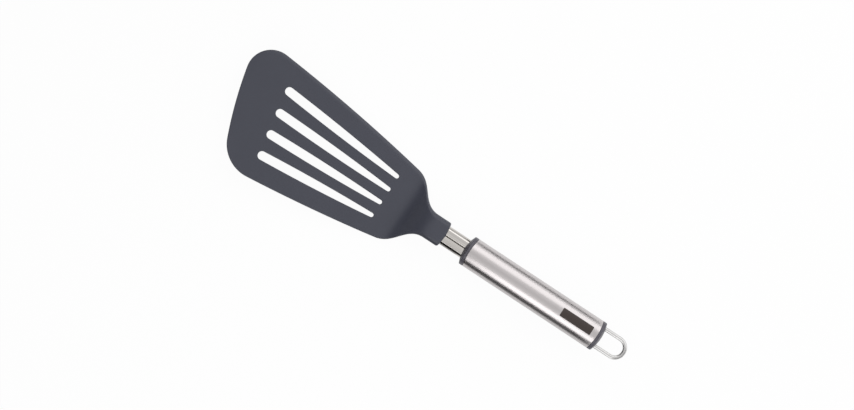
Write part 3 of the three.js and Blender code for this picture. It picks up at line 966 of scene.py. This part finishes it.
profile = [(0.0, 0.0), (floor_radius, 0.0)]
for i in range(1, sweep_steps + 1):
    angle = math.pi / 2 * i / sweep_steps
    profile.append((floor_radius + sweep_radius * math.sin(angle), sweep_radius * (1 - math.cos(angle))))
profile.append((floor_radius + sweep_radius, wall_height))
floor_mesh = bmesh.new()
turns = [2 * math.pi * i / floor_segments for i in range(floor_segments)]
add_skin(floor_mesh, [
    [Vector((radius * math.cos(turn), radius * math.sin(turn), up - floor_drop)) for turn in turns]
    for radius, up in profile
])
floor = make_object("floor", floor_mesh)
floor.data.shade_smooth()
white_floor = bpy.data.materials.new("white floor")
white_floor.use_nodes = True
tree = white_floor.node_tree
tree.nodes.clear()
lit = add_node(tree, "ShaderNodeBsdfDiffuse", {}, {"Color": linear("#FAFAFA")})
glow = add_node(tree, "ShaderNodeEmission", {}, {"Color": linear("#FFFFFF"), "Strength": 1.0})
ray = add_node(tree, "ShaderNodeLightPath")
seen = add_node(tree, "ShaderNodeMath", {"operation": "ADD"}, {
    0: ray.outputs["Is Camera Ray"], 1: ray.outputs["Is Glossy Ray"]})
any_seen = add_node(tree, "ShaderNodeMath", {"operation": "ADD", "use_clamp": True}, {
    0: seen.outputs[0], 1: ray.outputs["Is Transmission Ray"]})
part = add_node(tree, "ShaderNodeMath", {"operation": "MULTIPLY"}, {0: any_seen.outputs[0], 1: floor_glow})
mixed = add_node(tree, "ShaderNodeMixShader", {}, {0: part.outputs[0], 1: lit.outputs[0], 2: glow.outputs[0]})
add_node(tree, "ShaderNodeOutputMaterial", {}, {"Surface": mixed.outputs[0]})
floor.data.materials.append(white_floor)

# Studio light
# A dim even surround, three softboxes in a row overhead and two brighter ones beside the tool. Cards
# low beside the shank and the tube and one above the loop, seen only in reflections, draw the dark
# lines along the steel. The two grey cards lying on the floor beside the shank and the tube, also seen
# only in reflections, are painted shadow: the tool's shadow on the floor as the steel shows it.
surround = 0.1
light_distance = 0.9

world = bpy.data.worlds.new("dim surround")
bpy.context.scene.world = world
world.use_nodes = True
world.node_tree.nodes["Background"].inputs["Color"].default_value = (surround, surround, surround, 1.0)
aim = handle_axis * mm
# Each softbox by its two angles from straight above towards the lead side, its ends along x and its glow
for name, start, end, lamp_front, lamp_rear, glow in (
    ("overhead softbox", -13, 13, -0.63, 1.9, 0.66),
    ("lead overhead softbox", 13, 34.5, -0.63, 1.9, 0.76),
    ("trail overhead softbox", -32, -13, -0.63, 1.9, 0.76),
    ("lead softbox", 34.5, 77, -0.63, 1.9, 1.5),
    ("trail softbox", -69.5, -33, -0.15, 0.5, 2.05),
):
    turn = math.radians(start + end) / 2
    lamp = bpy.data.lights.new(name, "AREA")
    lamp.shape = "RECTANGLE"
    lamp.size = lamp_rear - lamp_front
    lamp.size_y = 2 * light_distance * math.tan(math.radians(end - start) / 2)
    lamp.energy = math.pi * lamp.size * lamp.size_y * glow
    softbox = bpy.data.objects.new(name, lamp)
    softbox.location = (
        (lamp_front + lamp_rear) / 2,
        aim.y + light_distance * math.sin(turn),
        aim.z + light_distance * math.cos(turn),
    )
    softbox.rotation_euler = (-turn, 0, 0)
    softbox.visible_camera = False
    bpy.context.collection.objects.link(softbox)

# Each card by its foot and its top, as places across and up, its ends along x and its tone
for name, foot, top, card_front, card_rear, tone in (
    ("shank black card", (-0.055, 0.0), (-0.055, 0.0315), -0.05, 0.03, "#0C0C0C"),
    # Painted shadow: a grey sheet on the floor, seen only in the steel, where the shank's shadow falls.
    ("shank floor card", (-0.055, 0.0002), (-0.004, 0.0002), -0.05, 0.03, "#B8B8B8"),
    ("shank pale card", (0.075, 0.0), (0.075, 0.0194), -0.05, 0.03, "#CCCCCC"),
    ("tube black card", (-0.055, 0.0), (-0.055, 0.0315), 0.03, 0.157, "#363636"),
    # Painted shadow: a pale grey sheet on the floor, seen only in the steel, where the tube's shadow falls.
    ("tube floor card", (-0.055, 0.0002), (-0.004, 0.0002), 0.03, 0.157, "#EEEEEE"),
    ("tube grey card", (0.075, 0.0), (0.075, 0.0194), 0.03, 0.157, "#585858"),
    ("loop black card", (-0.035, 0.1), (0.035, 0.1), 0.236, 0.285, "#101010"),
):
    card_data = bpy.data.meshes.new(name)
    card_data.from_pydata(
        [(x, aim.y + y, z) for x, (y, z) in (
            (card_front, foot), (card_rear, foot), (card_rear, top), (card_front, top))],
        [],
        [(0, 1, 2, 3)],
    )
    card = bpy.data.objects.new(name, card_data)
    bpy.context.collection.objects.link(card)
    paper = bpy.data.materials.new(name)
    paper.use_nodes = True
    paper.node_tree.nodes.clear()
    plain = add_node(paper.node_tree, "ShaderNodeEmission", {}, {"Color": linear(tone), "Strength": 1.0})
    add_node(paper.node_tree, "ShaderNodeOutputMaterial", {}, {"Surface": plain.outputs[0]})
    card.data.materials.append(paper)
    card.visible_camera = False
    card.visible_diffuse = False
    card.visible_shadow = False

# Camera
# It looks down on the tool from about 1.5 m, tipped slightly towards the loop, and turned so that
# the handle runs down to the right.
sensor_width = 36.0
lens = 84.31
camera_distance = 1.458
camera_tip = math.radians(2.5)
handle_slope = math.radians(33.39)
camera_aim = Vector((-0.00672, 0.01019, aim.z))

along_tool = Vector((math.cos(camera_tip), 0, -math.sin(camera_tip)))
across_tool = Vector((0, 1, 0))
view_right = along_tool * math.cos(handle_slope) + across_tool * math.sin(handle_slope)
view_up = across_tool * math.cos(handle_slope) - along_tool * math.sin(handle_slope)
view_back = view_right.cross(view_up)
camera_data = bpy.data.cameras.new("camera")
camera_data.sensor_width = sensor_width
camera_data.lens = lens
camera = bpy.data.objects.new("camera", camera_data)
camera.matrix_world = Matrix.Translation(camera_aim + view_back * camera_distance) @ Matrix(
    (view_right, view_up, view_back)).transposed().to_4x4()
bpy.context.collection.objects.link(camera)
bpy.context.scene.camera = camera
bpy.context.scene.view_settings.view_transform = "Standard"
